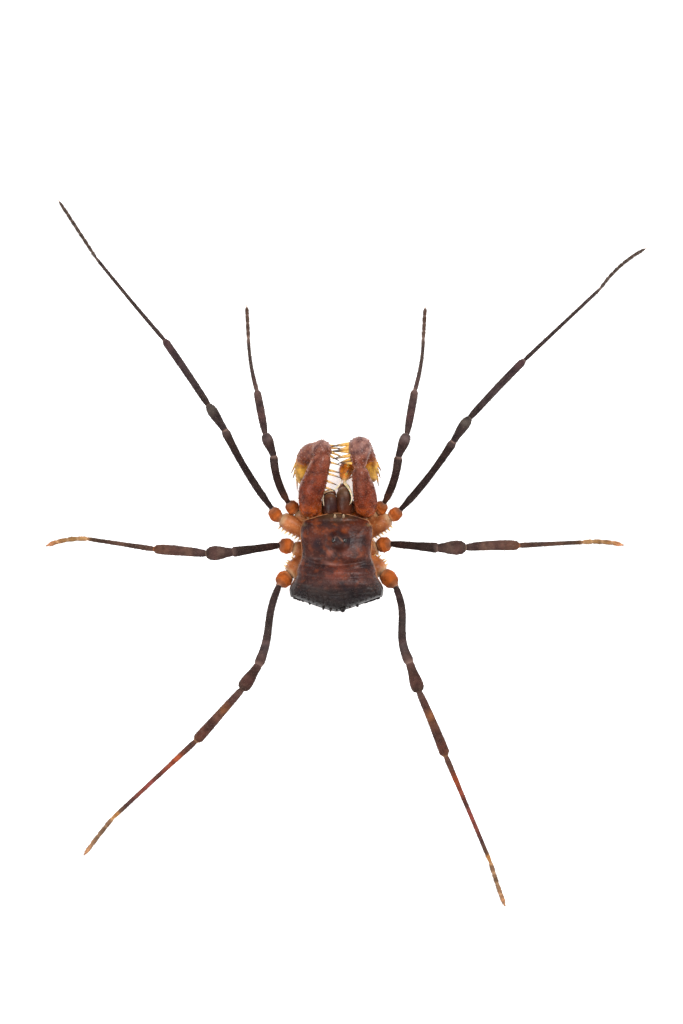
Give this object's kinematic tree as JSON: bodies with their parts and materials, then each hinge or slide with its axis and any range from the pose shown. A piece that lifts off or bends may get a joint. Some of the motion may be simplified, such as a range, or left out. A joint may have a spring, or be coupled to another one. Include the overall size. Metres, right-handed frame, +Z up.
{
  "type": "harvestman",
  "caption": "Armoured harvestman as a still, life-size model: domed back plate, low eye mound, large folded spiny palps and long spread legs.",
  "frame": {"origin": "bottom centre of the animal's box, on the floor under its body", "axes": "+X towards the animal's left, +Y towards its rear with the head towards -Y, +Z up"},
  "size_m": [0.02, 0.0234, 0.0028],
  "materials": {
    "back_plate": "satin granular cuticle, dark red brown",
    "belly": "smooth orange brown cuticle",
    "eyes": "glossy black",
    "chelicerae": "polished dark brown cuticle",
    "palps": "maroon cuticle, orange at the base",
    "palp_tips": "amber cuticle with dark spine tips",
    "legs": "satin purple brown cuticle with fine hairs",
    "feet": "satin brown to orange cuticle with fine hairs"
  },
  "bodies": {
    "root": {"chelicera_left": "chelicerae", "chelicera_right": "chelicerae", "eye_left": "eyes", "eye_right": "eyes", "left_leg_1_femur": "legs", "left_leg_1_foot": "feet", "left_leg_1_tibia": "legs", "left_leg_2_femur": "legs", "left_leg_2_foot": "feet", "left_leg_2_tibia": "legs", "left_leg_3_femur": "legs", "left_leg_3_foot": "feet", "left_leg_3_tibia": "legs", "left_leg_4_femur": "legs", "left_leg_4_foot": "feet", "left_leg_4_tibia": "legs", "palp_femur_left": "palps", "palp_femur_right": "palps", "palp_tarsus_left": "palp_tips", "palp_tarsus_right": "palp_tips", "palp_tibia_left": "palp_tips", "palp_tibia_right": "palp_tips", "right_leg_1_femur": "legs", "right_leg_1_foot": "feet", "right_leg_1_tibia": "legs", "right_leg_2_femur": "legs", "right_leg_2_foot": "feet", "right_leg_2_tibia": "legs", "right_leg_3_femur": "legs", "right_leg_3_foot": "feet", "right_leg_3_tibia": "legs", "right_leg_4_femur": "legs", "right_leg_4_foot": "feet", "right_leg_4_tibia": "legs", "scutum": "back_plate", "tergites": "back_plate", "venter": "belly"}
  },
  "joints": []
}
